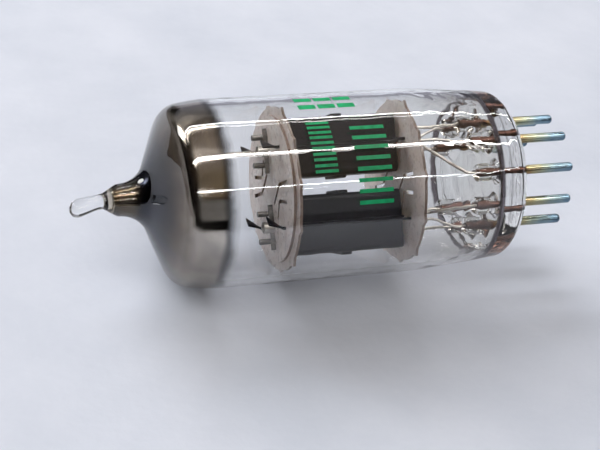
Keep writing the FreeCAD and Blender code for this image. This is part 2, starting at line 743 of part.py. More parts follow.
def make_grid_winding(unit):
    """The fine grid wire, drawn as a row of closed turns round the cathode."""
    body = new_body(f"grid_winding_{unit}", pieces=GRID_TURNS)
    path = new_sketch(body, f"grid_turn_{unit}_path", "YZ_Plane", ("0", "0", "Dims.grid_first_axial"))
    wide, tall = "Dims.grid_loop_radius", "(Dims.grid_loop_straight + Dims.grid_loop_radius)"
    bend = "Dims.grid_loop_bend"
    add_outline(path, [(x, y, bend) for x, y in box_corners(f"-{wide}", wide, f"-{tall}", tall)])
    section = new_sketch(body, f"grid_turn_{unit}_section")
    add_circle(section, "Dims.grid_first_axial", wide, "Dims.grid_wire_radius")
    turn = body.newObject("PartDesign::AdditivePipe", f"grid_turn_{unit}")
    turn.Profile = section
    turn.Spine = path
    rows = body.newObject("PartDesign::LinearPattern", f"grid_turns_{unit}")
    rows.Originals = [turn]
    rows.Direction = (origin_item(body, "X_Axis"), [""])
    rows.setExpression("Length", "Dims.grid_last_axial - Dims.grid_first_axial")
    rows.Occurrences = GRID_TURNS
    body.Tip = rows
    path.Visibility = False
    section.Visibility = False
    place(body, height=unit_height(unit))
    return keep(body, f"grid_winding_{unit}")


def make_heater(unit):
    """The coated heater wire, folded three times inside the cathode sleeve."""
    fold = value("Dims.heater_fold")
    top, low = value("Dims.heater_top_axial"), value("Dims.heater_fold_axial")
    end, radius = value("Dims.heater_end_axial"), value("Dims.heater_wire_radius")
    legs = [(-fold, -fold), (-fold, fold), (fold, fold), (fold, -fold)]
    edges = []
    reach = [end, top, low, top, end]
    for i, (side, height) in enumerate(legs):
        edges.append(Part.makeLine((reach[i], side, height), (reach[i + 1], side, height)))
        if i < 3:
            onward = legs[i + 1]
            bulge = -fold if reach[i + 1] == top else fold
            middle = (reach[i + 1] + bulge, (side + onward[0]) / 2, (height + onward[1]) / 2)
            after = (reach[i + 1], *onward)
            arc = Part.Arc(*[FreeCAD.Vector(*p) for p in ((reach[i + 1], side, height), middle, after)])
            edges.append(arc.toShape())
    spine = Part.Wire(edges)
    ring = Part.Wire(Part.makeCircle(radius, FreeCAD.Vector(end, *legs[0]), FreeCAD.Vector(1, 0, 0)))
    obj = doc.addObject("Part::Feature", f"heater_{unit}")
    obj.Shape = spine.makePipeShell([ring], True, False)
    place(obj, height=unit_height(unit))
    return keep(obj, f"heater_{unit}")


def make_group(name, members):
    """One node holding several separate solids."""
    group = doc.addObject("Part::Compound", name)
    group.Links = members
    return keep(group, name)


def new_box(name, length, width, height):
    """A plain block with its sizes on the sheet."""
    block = doc.addObject("Part::Box", name)
    for side, size in zip(("Length", "Width", "Height"), (length, width, height)):
        block.setExpression(side, size)
    return block


def make_grid_stops():
    """A short ribbon across each grid rod, on the cover spacer, that stops it sliding."""
    ribbons = []
    for unit in (1, 2):
        for rod in ("", "-"):
            ribbon = new_box(
                f"grid_stop_{len(ribbons) + 1}", "Dims.stop_width", "Dims.stop_thickness", "Dims.stop_length"
            )
            place(
                ribbon,
                axial=f"{ABOVE_COVER} - Dims.stop_gap - Dims.stop_width",
                side="-(Dims.grid_rod_radius + Dims.stop_thickness)",
                height=f"{unit_height(unit)} + {rod}Dims.grid_rod_spacing - Dims.stop_length / 2",
            )
            ribbons.append(ribbon)
    return make_group("grid_stops", ribbons)


def make_cathode_tabs():
    """A short strap from each cathode sleeve to its lead."""
    straps = []
    for unit, lead in ((1, 3), (2, 8)):
        side, height, _ = LEAD_ENDS[lead]
        across = (value(side), value(height) - value(unit_height(unit)))
        heading = math.atan2(across[1], across[0])
        strap = new_box(
            f"cathode_tab_{unit}",
            "Dims.cathode_tab_length",
            f"{math.hypot(*across)} - Dims.cathode_radius - Dims.lead_radius",
            "Dims.cathode_tab_thickness",
        )
        place(
            strap,
            axial="Dims.cathode_bottom_axial - Dims.cathode_tab_overlap",
            side=f"Dims.cathode_radius * {math.cos(heading)}",
            height=f"{unit_height(unit)} + Dims.cathode_radius * {math.sin(heading)}",
            roll=str(math.degrees(heading)),
        )
        straps.append(strap)
    return make_group("cathode_tabs", straps)


def make_heater_strap():
    """The wire that joins one end of both heaters to the centre-tap lead."""
    strap = doc.addObject("Part::Cylinder", "heater_strap")
    strap.setExpression("Radius", "Dims.heater_strap_radius")
    strap.setExpression("Height", "2 * (Dims.unit_offset + Dims.heater_fold)")
    place(
        strap,
        axial="Dims.heater_strap_axial",
        side=STRAP_SIDE,
        height="-(Dims.unit_offset + Dims.heater_fold)",
    )
    return keep(strap, "heater_strap")


# ---------------------------------------------------------------- getter and printed mark

def make_getter_ring():
    """The metal channel ring that held the getter charge."""
    ring = doc.addObject("Part::Torus", "getter_ring")
    ring.setExpression("Radius1", "Dims.getter_ring_radius")
    ring.setExpression("Radius2", "Dims.getter_channel_radius")
    own = "rotation(vector(0; 1; 0); 90)"
    turn = "placement(vector(0; 0; 0); rotation(vector(1; 0; 0); Dims.cage_roll))"
    centre = "vector(Dims.getter_axial; Dims.getter_post_side; Dims.unit_offset - Dims.getter_ring_radius)"
    ring.setExpression("Placement", f"{turn} * placement({centre}; {own})")
    return keep(ring, "getter_ring")


def make_getter_post():
    """The wire that stands on the top spacers and carries the getter ring."""
    body = new_body("getter_post")
    foot = "Dims.mica_top_axial + Dims.mica_thickness / 2 + Dims.getter_post_foot"
    collar = f"{ABOVE_COVER} - Dims.getter_collar_gap"
    revolve(body, "getter_post_turned", [
        ("Dims.getter_axial + Dims.getter_channel_radius", "0"),
        ("Dims.getter_axial + Dims.getter_channel_radius", "Dims.getter_post_radius"),
        (f"{collar} - Dims.getter_collar_length", "Dims.getter_post_radius"),
        (f"{collar} - Dims.getter_collar_length", "Dims.getter_collar_radius"),
        (collar, "Dims.getter_collar_radius"),
        (collar, "Dims.getter_post_radius"),
        (foot, "Dims.getter_post_radius"),
        (foot, "0"),
    ])
    place(body, side="Dims.getter_post_side", height="Dims.unit_offset")
    return keep(body, "getter_post")


# Each row of the mark: its axial middle and width, the angle where it starts, the angles that a bar and
# the gap inside a pair of bars take, the angle from one pair to the next, and the number of pairs.
MARK_ROWS = (
    (-23.7, 2.5, 43.6, 1.8, 1.6, 7.1, 5),
    (-18.4, 3.8, 24.0, 2.4, 4.4, 13.2, 4),
)
# The block beside the rows: its first pair's axial middle, the pairs' width, spacing and number, and the
# angles where its two rows of bars start, with the angle that a bar takes.
BLOCK_AXIAL, BLOCK_WIDTH, BLOCK_SPACING, BLOCK_COUNT = -24.0, 1.9, 2.2, 3
BLOCK_ANGLES, BLOCK_BAR = (92.0, 101.0), 4.5


def make_mark():
    """A generic printed mark: two rows of paired bars round the bulb, and a block of bars beside them."""
    bars = []
    for axial, width, first, bar, gap, pitch, count in MARK_ROWS:
        for i in range(count):
            for angle in (first + i * pitch, first + i * pitch + bar + gap):
                bars.append(ink_bar(len(bars), axial, width, angle, bar))
    for i in range(BLOCK_COUNT):
        for angle in BLOCK_ANGLES:
            axial = BLOCK_AXIAL + i * BLOCK_SPACING
            bars.append(ink_bar(len(bars), axial, BLOCK_WIDTH, angle, BLOCK_BAR))
    return make_group("printed_mark", bars)


def ink_bar(number, axial, width, angle, bar):
    """A bar of ink on the bulb, from an angle above the side facing -Y, as a cut from two cylinders."""
    drums = []
    for kind, radius in (("outer", "Dims.bulb_radius + Dims.ink_thickness"), ("inner", "Dims.bulb_radius")):
        drum = doc.addObject("Part::Cylinder", f"ink_{kind}_{number}")
        drum.setExpression("Radius", radius)
        drum.Height = width
        drum.Angle = bar
        drums.append(drum)
    ink = doc.addObject("Part::Cut", f"ink_bar_{number}")
    ink.Base, ink.Tool = drums
    own = f"placement(vector({axial - width / 2}; 0; 0); rotation(vector(0; 1; 0); 90))"
    turn = f"placement(vector(0; 0; 0); rotation(vector(1; 0; 0); {-angle - 90}))"
    ink.setExpression("Placement", f"{turn} * {own}")
    return ink


# ---------------------------------------------------------------- build, check and export

make_envelope()
make_film()
make_button()
for number in range(1, PIN_COUNT + 1):
    make_pin(number)
make_seal_wires()
for number in LEAD_ENDS:
    make_lead(number)
make_mica("mica_cover", "Dims.mica_cover_axial", "Dims.mica_cover_radius", toothed=False)
make_mica("mica_top", "Dims.mica_top_axial", slotted=False)
make_mica("mica_bottom", "Dims.mica_bottom_axial", with_post=False)
for unit in (1, 2):
    for half in ("inner", "outer"):
        make_plate_half(unit, half)
    make_cathode(unit)
    make_coating(unit)
    make_grid_rods(unit)
    make_grid_winding(unit)
    make_heater(unit)
make_grid_stops()
make_cathode_tabs()
make_heater_strap()
make_getter_ring()
make_getter_post()
make_mark()
doc.recompute()

for obj in doc.Objects:
    if "Invalid" in obj.State or "Error" in obj.State:
        raise RuntimeError(f"{obj.Label} did not build: {obj.State}")
for name, obj in nodes.items():
    if obj.Shape.isNull() or not obj.Shape.isValid() or not obj.Shape.Solids:
        raise RuntimeError(f"{name} has no valid solid")

os.makedirs("parts", exist_ok=True)
for name, obj in nodes.items():
    obj.Shape.exportStep(f"parts/{name}.step")
    box = obj.Shape.BoundBox
    print(
        f"{name:20s} solids {len(obj.Shape.Solids):2d}  volume {obj.Shape.Volume:9.3f}  "
        f"x {box.XMin:.2f}..{box.XMax:.2f}  y {box.YMin:.2f}..{box.YMax:.2f}  "
        f"z {box.ZMin:.2f}..{box.ZMax:.2f}"
    )
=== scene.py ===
"""A miniature glass vacuum tube lying on pale paper, built around its CAD frame.

The tube's own lengths are in millimetres, and are scaled to metres by MM where they are used.
The lights and the camera are placed in metres.
X runs along the tube, with the pins towards +X and the mirrored dome towards -X.
"""
import json
import math

import bmesh
import bpy
from mathutils import Matrix, Quaternion, Vector


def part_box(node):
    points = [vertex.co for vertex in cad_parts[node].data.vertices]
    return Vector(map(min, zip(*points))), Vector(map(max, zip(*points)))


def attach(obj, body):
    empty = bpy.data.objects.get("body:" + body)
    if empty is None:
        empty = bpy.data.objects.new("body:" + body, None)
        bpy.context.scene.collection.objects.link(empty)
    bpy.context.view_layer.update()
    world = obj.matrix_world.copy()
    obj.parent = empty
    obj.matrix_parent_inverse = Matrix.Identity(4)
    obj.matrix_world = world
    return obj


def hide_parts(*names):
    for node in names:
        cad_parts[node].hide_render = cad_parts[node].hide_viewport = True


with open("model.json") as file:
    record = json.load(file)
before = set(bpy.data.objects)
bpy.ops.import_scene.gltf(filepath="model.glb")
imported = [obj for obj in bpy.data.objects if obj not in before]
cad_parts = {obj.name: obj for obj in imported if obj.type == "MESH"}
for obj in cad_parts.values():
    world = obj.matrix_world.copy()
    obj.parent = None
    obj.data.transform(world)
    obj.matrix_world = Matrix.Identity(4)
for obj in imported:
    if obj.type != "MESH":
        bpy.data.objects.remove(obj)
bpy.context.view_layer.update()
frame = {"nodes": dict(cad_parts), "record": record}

MM = 0.001
LATHE_SEGMENTS = 192
PIN_SEGMENTS = 48
WIRE_SIDES = 20
SHARP_ANGLE = math.radians(35)
ON_AXIS = 1e-6
SAME_POINT = 1e-8
LONGEST_STEP = 1.5


def extent(node):
    """A CAD node's lowest and highest corner in millimetres."""
    low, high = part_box(node)
    return low / MM, high / MM


# ---------------------------------------------------------------- sizes, from the frame where it holds them

envelope_low, envelope_high = extent("glass_envelope")
film_low, film_high = extent("getter_film")
button_low, button_high = extent("glass_button")
seal_low, seal_high = extent("seal_wires")
lead_low, lead_high = extent("lead_1")
pin_low, pin_high = extent("pin_1")
mounts = {mount["name"]: mount for mount in frame["record"]["mounts"]}
pin_mounts = [mounts[f"pin_{number}"] for number in range(1, 10)]

BULB_RADIUS = envelope_high.z
BULB_WALL = 0.8
SEAL_AXIAL = envelope_high.x
SEAL_RADIUS = button_high.z
TIP_AXIAL = envelope_low.x
TIP_ROOT_AXIAL = -45.4
TIP_ROOT_RADIUS = 0.82
HOLLOW_END_AXIAL = film_low.x
HOLLOW_END_BEND = 0.3
FILM_EDGE_AXIAL = film_high.x
FILM_BITE = 0.02
FILM_THICKNESS = 0.05
# Half-width of the ring of painted shade at the seal, where bulb and button meet.
SEAM_SHADE_WIDTH = 0.38
SEAM_GAP = 0.02
MOULD_LINE_AXIAL = -2.4
MOULD_LINE_WIDTH = 0.08
PIN_END_BEND = 0.42
SEAL_WIRE_RADIUS = 0.3
LEAD_RADIUS = 0.17
LEAD_FIRST_BEND_AXIAL = -6.2
LEAD_BEND = 0.8
BUTTON_INNER_AXIAL = -2.9
BUTTON_INNER_RADIUS = 8.4
BUTTON_INNER_BEND = 0.5
RIM_AXIAL = -1.0
RIM_RADIUS = 9.35
RIM_BEND = 1.2
SEAT_RADIUS = 8.2
SEAT_BEND = 0.5
PILLAR_RADIUS = 0.95
PILLAR_BEND = 0.45
PILLAR_FOOT_RADIUS = 1.45
PILLAR_FOOT_LENGTH = 0.4
PILLAR_FOOT_BEND = 0.5
# How far the pillars' feet sink into the disc, so that they fuse.
PILLAR_ROOT = 0.5
CAGE_ROLL = math.radians(-36)

# Corners of the bulb's outer skin: how far along, radius, and the bend that rounds the corner.
BULB_CORNERS = [
    (SEAL_AXIAL, SEAL_RADIUS, 0.0),
    (-11.0, BULB_RADIUS, 30.0),
    (-34.9, BULB_RADIUS, 22.0),
    (-38.17, 9.65, 2.3),
    (-41.52, 1.85, 3.2),
    (-43.9, 1.72, 0.7),
    (TIP_ROOT_AXIAL, TIP_ROOT_RADIUS, 0.0),
]
NECK_CORNER = 4
CROWN_AXIAL = BULB_CORNERS[2][0]
# Rings up the drooping tip: share of its length, radius and droop.
TIP_RINGS = [
    (0.0, TIP_ROOT_RADIUS, 0.0),
    (0.25, 0.83, 0.14),
    (0.5, 0.93, 0.34),
    (0.75, 1.0, 0.52),
    (0.92, 0.78, 0.63),
    (1.0, 0.34, 0.67),
]
TIP_STEPS = 6


# ---------------------------------------------------------------- outlines

def arc_through(before, corner, after, bend, step=math.radians(4)):
    """Points of the round bend that replaces a corner, or the corner alone where there is no bend."""
    if bend <= 0:
        return [corner]
    towards = (before - corner).normalized()
    away = (after - corner).normalized()
    inside = towards.angle(away)
    reach = bend / math.tan(inside / 2)
    start = corner + towards * reach
    centre = corner + (towards + away).normalized() * (bend / math.sin(inside / 2))
    turn = math.pi - inside
    axis = (start - centre).cross(corner - centre).normalized()
    count = max(3, math.ceil(turn / step))
    return [
        centre + Quaternion(axis, turn * i / count) @ (start - centre)
        for i in range(count + 1)
    ]


def rounded(corners):
    """A line through (x, radius, bend) corners with every corner rounded."""
    places = [Vector((x, radius, 0)) for x, radius, bend in corners]
    line = [places[0]]
    for i in range(1, len(corners) - 1):
        line += arc_through(places[i - 1], places[i], places[i + 1], corners[i][2])
    line.append(places[-1])
    return line


def inset(line, depth):
    """The same line moved a depth inwards, square to itself."""
    moved = []
    for i, place in enumerate(line):
        along = (line[min(i + 1, len(line) - 1)] - line[max(i - 1, 0)]).normalized()
        inwards = Vector((along.y, -along.x, 0))
        if inwards.y > 0:
            inwards = -inwards
        moved.append(place + inwards * depth)
    return moved


def divided(line, longest):
    """The line with its long straight runs divided."""
    finer = [line[0]]
    for before, after in zip(line, line[1:]):
        parts = max(1, math.ceil((after - before).length / longest))
        finer += [before.lerp(after, i / parts) for i in range(1, parts + 1)]
    return finer


# ---------------------------------------------------------------- meshes

def smooth(mesh):
    """Shades a mesh smooth, except where its faces meet at a sharp angle."""
    mesh.shade_smooth()
    mesh.set_sharp_from_angle(angle=SHARP_ANGLE)
    mesh.update()
    return mesh


def mesh_from(name, points, faces):
    """A smooth mesh from millimetre points."""
    mesh = bpy.data.meshes.new(name)
    mesh.from_pydata([tuple(Vector(point) * MM) for point in points], [], faces)
    shape = bmesh.new()
    shape.from_mesh(mesh)
    bmesh.ops.remove_doubles(shape, verts=shape.verts, dist=SAME_POINT)
    bmesh.ops.recalc_face_normals(shape, faces=shape.faces)
    shape.to_mesh(mesh)
    shape.free()
    return smooth(mesh)


def lathe(name, outline, segments=LATHE_SEGMENTS, shift=None, centre=(0, 0)):
    """Turns a closed outline of (x, radius) about the X axis, or an axis parallel to it through centre."""
    points, rings = [], []
    for place in outline:
        x, radius = place[0], place[1]
        droop = shift(x) if shift else Vector((0, 0, 0))
        if radius < ON_AXIS:
            rings.append([len(points)] * segments)
            points.append(Vector((x, *centre)) + droop)
            continue
        rings.append(list(range(len(points), len(points) + segments)))
        for i in range(segments):
            angle = 2 * math.pi * i / segments
            rim = Vector((x, centre[0] + radius * math.cos(angle), centre[1] + radius * math.sin(angle)))
            points.append(rim + droop)
    faces = []
    closed = outline[0][1] > ON_AXIS
    pairs = list(zip(rings, rings[1:])) + ([(rings[-1], rings[0])] if closed else [])
    for first, second in pairs:
        for i in range(segments):
            j = (i + 1) % segments
            corners = [first[i], first[j], second[j], second[i]]
            faces.append(list(dict.fromkeys(corners)))
    return mesh_from(name, points, [face for face in faces if len(face) > 2])


def tube(name, path, radius, sides=WIRE_SIDES):
    """A round wire along a path of points, closed at both ends."""
    points, faces = [], []
    tangent = (path[1] - path[0]).normalized()
    across = tangent.orthogonal().normalized()
    for i, place in enumerate(path):
        new_tangent = (path[min(i + 1, len(path) - 1)] - path[max(i - 1, 0)]).normalized()
        across = tangent.rotation_difference(new_tangent) @ across
        tangent = new_tangent
        other = tangent.cross(across)
        for k in range(sides):
            angle = 2 * math.pi * k / sides
            points.append(place + (across * math.cos(angle) + other * math.sin(angle)) * radius)
    for i in range(len(path) - 1):
        for k in range(sides):
            k_next = (k + 1) % sides
            faces.append([i * sides + k, i * sides + k_next, (i + 1) * sides + k_next, (i + 1) * sides + k])
    faces.append(list(range(sides)))
    faces.append(list(range((len(path) - 1) * sides, len(path) * sides)))
    return mesh_from(name, points, faces)


def rounded_path(corners, bend):
    """A path through 3-D corners with each inner corner rounded."""
    path = [corners[0]]
    for before, corner, after in zip(corners, corners[1:], corners[2:]):
        path += arc_through(before, corner, after, bend, step=math.radians(8))
    path.append(corners[-1])
    return path


def from_cage(x, side, height):
    """A point given in the cage's own side and height, turned into the tube's frame."""
    cos_roll, sin_roll = math.cos(-CAGE_ROLL), math.sin(-CAGE_ROLL)
    return Vector((x, side * cos_roll + height * sin_roll, -side * sin_roll + height * cos_roll))


def joined(name, meshes):
    """Several meshes as the loose parts of one mesh."""
    shape = bmesh.new()
    for mesh in meshes:
        shape.from_mesh(mesh)
    result = bpy.data.meshes.new(name)
    shape.to_mesh(result)
    shape.free()
    return smooth(result)


def add_piece(name, mesh, material, nodes):
    """Puts a rebuilt piece on the one body in place of its CAD nodes."""
    piece = bpy.data.objects.new(name, mesh)
    bpy.context.scene.collection.objects.link(piece)
    mesh.materials.clear()
    mesh.materials.append(material)
    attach(piece, "root")
    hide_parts(*nodes)
    return piece


# ---------------------------------------------------------------- materials

class Nodes:
    """A node tree, with short ways to add the nodes used here."""

    def __init__(self, tree):
        self.tree = tree

    def give(self, socket, given):
        """Links a socket to another node's output, or sets its value."""
        if isinstance(given, bpy.types.NodeSocket):
            self.tree.links.new(given, socket)
        else:
            socket.default_value = given

    def add(self, kind, **inputs):
        node = self.tree.nodes.new(kind)
        for name, given in inputs.items():
            self.give(node.inputs[name.replace("_", " ")], given)
        return node

    def ramp(self, factor, stops):
        node = self.add("ShaderNodeValToRGB", Fac=factor)
        elements = node.color_ramp.elements
        while len(elements) < len(stops):
            elements.new(0.5)
        for element, (position, colour) in zip(elements, stops):
            element.position = position
            element.color = (*colour, 1)
        return node.outputs["Color"]

    def fit(self, factor, low, high, to_low=0.0, to_high=1.0):
        """A number moved from one range to another, and held inside it."""
        node = self.tree.nodes.new("ShaderNodeMapRange")
        self.tree.links.new(factor, node.inputs[0])
        for socket, number in zip(node.inputs[1:5], (low, high, to_low, to_high)):
            socket.default_value = number
        return node.outputs[0]

    def combine(self, first, second, operation="ADD"):
        """Two numbers put through a sum, a product or the like."""
        node = self.tree.nodes.new("ShaderNodeMath")
        node.operation = operation
        for socket, given in zip(node.inputs, (first, second)):
            self.give(socket, given)
        return node.outputs[0]

    def mixed(self, factor, first, second, blend="MIX"):
        node = self.add("ShaderNodeMixRGB", Fac=factor, Color1=first, Color2=second)
        node.blend_type = blend
        return node.outputs["Color"]


class Recipe(Nodes):
    """A new material, whose patterns follow the object's own coordinates."""

    def __init__(self, name):
        self.material = bpy.data.materials.new(name)
        self.material.use_nodes = True
        super().__init__(self.material.node_tree)
        self.shader = self.tree.nodes["Principled BSDF"]
        self.output = self.tree.nodes["Material Output"]
        self.coordinates = self.add("ShaderNodeTexCoord")
        self.place = self.coordinates.outputs["Object"]

    def set(self, **inputs):
        for name, given in inputs.items():
            self.give(self.shader.inputs[name.replace("_", " ")], given)

    def stretched(self, stretch):
        """Object coordinates scaled by axis, so that noise draws out along an axis."""
        node = self.add("ShaderNodeMapping", Vector=self.place)
        node.inputs["Scale"].default_value = stretch
        return node.outputs["Vector"]

    def noise(self, scale, detail=4.0, rough=0.55, stretch=None, warp=0.0):
        place = self.stretched(stretch) if stretch else self.place
        node = self.add("ShaderNodeTexNoise", Vector=place, Scale=scale, Detail=detail, Roughness=rough)
        node.inputs["Distortion"].default_value = warp
        return node.outputs["Fac"]

    def along(self):
        """How far along the tube, in millimetres."""
        split = self.add("ShaderNodeSeparateXYZ", Vector=self.place)
        return self.combine(split.outputs["X"], 1 / MM, "MULTIPLY")

    def radial(self):
        """Distance from the tube's axis, in millimetres."""
        flat = self.add("ShaderNodeMapping", Vector=self.place)
        flat.inputs["Scale"].default_value = (0, 1 / MM, 1 / MM)
        length = self.tree.nodes.new("ShaderNodeVectorMath")
        length.operation = "LENGTH"
        self.tree.links.new(flat.outputs["Vector"], length.inputs[0])
        return length.outputs["Value"]

    def band(self, factor, middle, width, soft):
        """One across a band about a middle value, with soft edges, and nothing elsewhere."""
        away = self.combine(self.combine(factor, middle, "SUBTRACT"), 0.0, "ABSOLUTE")
        return self.fit(away, width - soft, width + soft, 1.0, 0.0)

    def bump(self, height, depth_mm, strength=1.0):
        node = self.add("ShaderNodeBump", Height=height, Strength=strength, Distance=depth_mm * MM)
        self.set(Normal=node.outputs["Normal"])

    def lights_pass(self, clearness=0.9):
        """Lets light through glass without waiting for a refracted path."""
        nodes, links = self.tree.nodes, self.tree.links
        ray = nodes.new("ShaderNodeLightPath")
        clear = self.add("ShaderNodeBsdfTransparent", Color=(clearness, clearness, clearness, 1))
        mix = nodes.new("ShaderNodeMixShader")
        either = self.combine(ray.outputs["Is Shadow Ray"], ray.outputs["Is Diffuse Ray"], "MAXIMUM")
        links.new(either, mix.inputs["Fac"])
        links.new(self.shader.outputs["BSDF"], mix.inputs[1])
        links.new(clear.outputs["BSDF"], mix.inputs[2])
        links.new(mix.outputs["Shader"], self.output.inputs["Surface"])


MOULD_LINE_STRENGTH = 0.75
SMOKY_FROM, SMOKY_TO = SEAL_AXIAL - 8, SEAL_AXIAL - 3
FLAMED_FROM, FLAMED_TO = SEAL_AXIAL - 9, SEAL_AXIAL - 2
WAVE_DEPTH = 0.22
MIRROR_EDGE_FADE = 1.7
DOME_COAT_LENGTH = 3.0


def glass(name, tint, haze_scale):
    """Clear glass, faintly grey, wavy by the seal, with painted shade along the ring where it was fused and
    dark along the line where it was moulded.
    """
    recipe = Recipe(name)
    body = recipe.noise(haze_scale, detail=3, stretch=(0.3, 1, 1))
    clear = recipe.ramp(body, [(0.3, tint), (0.75, (0.985, 0.985, 0.985))])
    axial = recipe.along()
    # Painted shade: a dark ring where bulb and button meet, in place of the shade that refraction makes at
    # the joint.
    seam_shade = recipe.band(axial, SEAL_AXIAL, SEAM_SHADE_WIDTH, 0.12)
    mould = recipe.band(axial, MOULD_LINE_AXIAL, MOULD_LINE_WIDTH, 0.08)
    lines = recipe.combine(seam_shade, recipe.combine(mould, MOULD_LINE_STRENGTH, "MULTIPLY"), "MAXIMUM")
    skin = recipe.fit(recipe.radial(), SEAL_RADIUS - BULB_WALL, SEAL_RADIUS - 0.6 * BULB_WALL)
    # These rings hold the painted seam shade together with the dark mould line.
    rings = recipe.combine(lines, skin, "MULTIPLY")
    # The glass is thicker and greyer by the seal.
    thick = recipe.fit(axial, SMOKY_FROM, SMOKY_TO, 0.0, 0.7)
    smoky = recipe.mixed(thick, clear, (0.85, 0.84, 0.81, 1))
    recipe.set(
        # The painted seam shade and the mould line are mixed into the glass colour here.
        Base_Color=recipe.mixed(rings, smoky, (0.022, 0.016, 0.020, 1)),
        Roughness=recipe.fit(recipe.noise(haze_scale * 2.2), 0.5, 0.75, 0.0, 0.03),
        Transmission_Weight=1.0,
        IOR=1.5,
    )
    # The flame that sealed the base left the last centimetre of glass wavy.
    flamed = recipe.fit(axial, FLAMED_FROM, FLAMED_TO, 0.12, 1.0)
    waves = recipe.combine(recipe.noise(340, detail=1.5, stretch=(1.0, 0.8, 0.8)), flamed, "MULTIPLY")
    recipe.bump(waves, WAVE_DEPTH)
    recipe.lights_pass()
    return recipe.material


def mirror():
    """The getter mirror: olive on the neck, dark slate on the dome as painted reflection, warm and bright
    past it, thin at its edge.
    """
    recipe = Recipe("getter_mirror")
    wander = recipe.fit(recipe.noise(420, detail=5), 0.3, 0.7, -0.2, 0.2)
    place = recipe.combine(recipe.along(), wander)
    streaks = recipe.noise(150, detail=6, stretch=(0.6, 1, 1), warp=1.6)
    # Painted reflection: the near-black and dark slate stops across the dome stand for the dark room it
    # reflects; the other stops are the film's own tint.
    coat = recipe.ramp(recipe.fit(place, HOLLOW_END_AXIAL, FILM_EDGE_AXIAL), [
        (0.0, (0.62, 0.55, 0.42)),
        (0.03, (0.16, 0.12, 0.08)),
        (0.2, (0.12, 0.10, 0.07)),
        (0.28, (0.022, 0.025, 0.036)),
        (0.38, (0.044, 0.048, 0.064)),
        (0.46, (0.058, 0.051, 0.048)),
        (0.52, (0.16, 0.122, 0.088)),
        (0.62, (0.48, 0.44, 0.39)),
        (0.82, (0.56, 0.52, 0.47)),
        (0.88, (0.12, 0.12, 0.13)),
    ])
    depth = recipe.ramp(recipe.fit(place, FILM_EDGE_AXIAL - MIRROR_EDGE_FADE, FILM_EDGE_AXIAL), [
        (0.0, (1.0, 1.0, 1.0)),
        (0.28, (0.5, 0.5, 0.5)),
        (0.6, (0.1, 0.1, 0.1)),
        (0.85, (0.0, 0.0, 0.0)),
    ])
    # The coat is thicker and duller on the dome than on the bulb's straight wall.
    dull = recipe.fit(place, CROWN_AXIAL - DOME_COAT_LENGTH, CROWN_AXIAL, 0.10, 0.0)
    recipe.set(
        # The coat, with its painted reflection on the dome, is streaked here.
        Base_Color=recipe.mixed(1.0, coat, recipe.ramp(streaks, [
            (0.3, (0.58, 0.58, 0.61)),
            (0.68, (1.0, 0.98, 0.95)),
        ]), "MULTIPLY"),
        Metallic=1.0,
        Roughness=recipe.combine(recipe.fit(streaks, 0.3, 0.7, 0.015, 0.06), dull),
        Alpha=depth,
    )
    recipe.bump(recipe.noise(500, detail=2), 0.006, 0.2)
    return recipe.material


def pin_metal():
    """Pin wire tinted by the sealing flame: gold by the glass, then grey-green, then blue towards the end."""
    recipe = Recipe("pin_alloy")
    length = recipe.combine(recipe.along(), recipe.fit(recipe.noise(700), 0.3, 0.7, -0.8, 0.8))
    tint = recipe.ramp(recipe.fit(length, pin_low.x, pin_high.x), [
        (0.1, (0.11, 0.055, 0.04)),
        (0.19, (0.34, 0.21, 0.10)),
        (0.3, (0.41, 0.35, 0.20)),
        (0.48, (0.42, 0.45, 0.33)),
        (0.68, (0.30, 0.40, 0.42)),
        (0.86, (0.20, 0.31, 0.40)),
        (1.0, (0.13, 0.20, 0.27)),
    ])
    scratches = recipe.noise(2400, detail=6, stretch=(0.08, 1, 1))
    recipe.set(
        Base_Color=recipe.mixed(1.0, tint, recipe.ramp(scratches, [
            (0.35, (0.6, 0.6, 0.6)),
            (0.6, (1.0, 1.0, 1.0)),
        ]), "MULTIPLY"),
        Metallic=1.0,
        Roughness=recipe.fit(scratches, 0.3, 0.7, 0.18, 0.42),
    )
    recipe.bump(scratches, 0.012, 0.5)
    return recipe.material


def metal(name, dark, light, rough=(0.25, 0.45), scale=1500, stretch=(0.2, 1, 1)):
    """Drawn wire or rolled sheet with fine lines along the tube."""
    recipe = Recipe(name)
    grain = recipe.noise(scale, detail=5, stretch=stretch)
    recipe.set(
        Base_Color=recipe.ramp(grain, [(0.3, dark), (0.7, light)]),
        Metallic=1.0,
        Roughness=recipe.fit(grain, 0.3, 0.7, *rough),
    )
    recipe.bump(grain, 0.008, 0.4)
    return recipe.material


def powdery(name, dark, light, rough=(0.7, 0.9), scale=2500, depth=0.02, shine=0.5):
    """A matt, finely granular coat."""
    recipe = Recipe(name)
    grain = recipe.noise(scale, detail=6)
    patches = recipe.noise(scale * 0.12, detail=3)
    shade = recipe.combine(recipe.combine(grain, 0.5, "MULTIPLY"), recipe.combine(patches, 0.5, "MULTIPLY"))
    recipe.set(
        Base_Color=recipe.ramp(shade, [(0.35, dark), (0.65, light)]),
        Roughness=recipe.fit(patches, 0.3, 0.7, *rough),
        Specular_IOR_Level=shine,
    )
    recipe.bump(grain, depth, 0.5)
    return recipe.material


